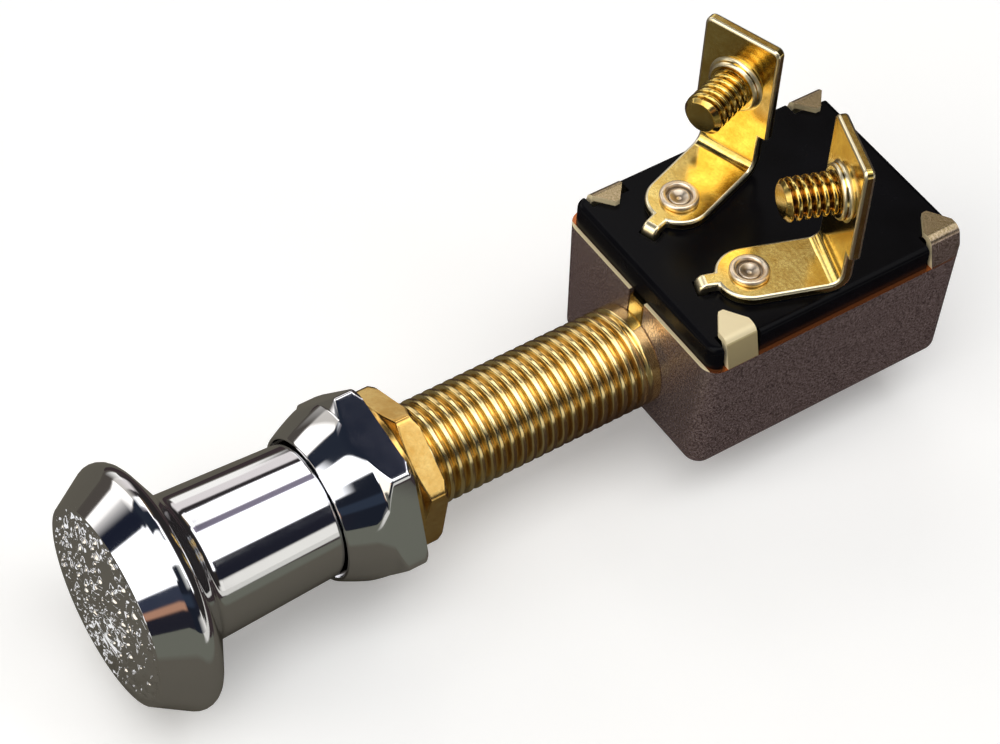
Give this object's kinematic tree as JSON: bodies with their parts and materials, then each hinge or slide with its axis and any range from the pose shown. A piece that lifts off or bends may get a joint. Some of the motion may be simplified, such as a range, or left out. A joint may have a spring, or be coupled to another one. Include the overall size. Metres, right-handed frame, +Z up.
{
  "type": "push-pull switch",
  "caption": "Panel-mounted push-pull on/off switch with a chromed knob, threaded brass stem, bezel and panel nuts, and a metal box with screw terminals.",
  "frame": {"origin": "on the stem's axis, at the front face of the switch box", "axes": "+Y along the stem towards the back of the box, -Y towards the knob, +Z up the screw terminals"},
  "size_m": [0.023, 0.0819, 0.0362],
  "materials": {
    "chrome": "polished chrome plate",
    "brass": "bright turned and stamped brass",
    "bronzed_can": "brown bronzed sheet",
    "black_phenolic": "moulded gloss",
    "tinned_copper": "dull tinned",
    "steel": "bright drawn",
    "fibre": "pressed fibre"
  },
  "bodies": {
    "switch_body": {"bezel_nut": "chrome", "panel_nut": "brass", "threaded_bushing": "brass", "terminal_left": "brass", "terminal_right": "brass", "terminal_screw_left": "brass", "terminal_screw_right": "brass", "fixed_contact_left": "brass", "fixed_contact_right": "brass", "housing": "bronzed_can", "terminal_plate": "black_phenolic", "eyelet_left": "tinned_copper", "eyelet_right": "tinned_copper", "detent_ring": "steel", "floor_liner": "fibre"},
    "plunger": {"knob": "chrome", "plunger_shaft": "steel", "carriage": "black_phenolic", "contact_bar": "brass", "contact_spring": "steel", "stop_washer": "fibre", "retaining_clip": "steel"}
  },
  "joints": [
    {"name": "plunger", "type": "slide", "parent": "switch_body", "child": "plunger", "axis": [0, -1, 0], "range_m": [0, 0.0095]}
  ]
}
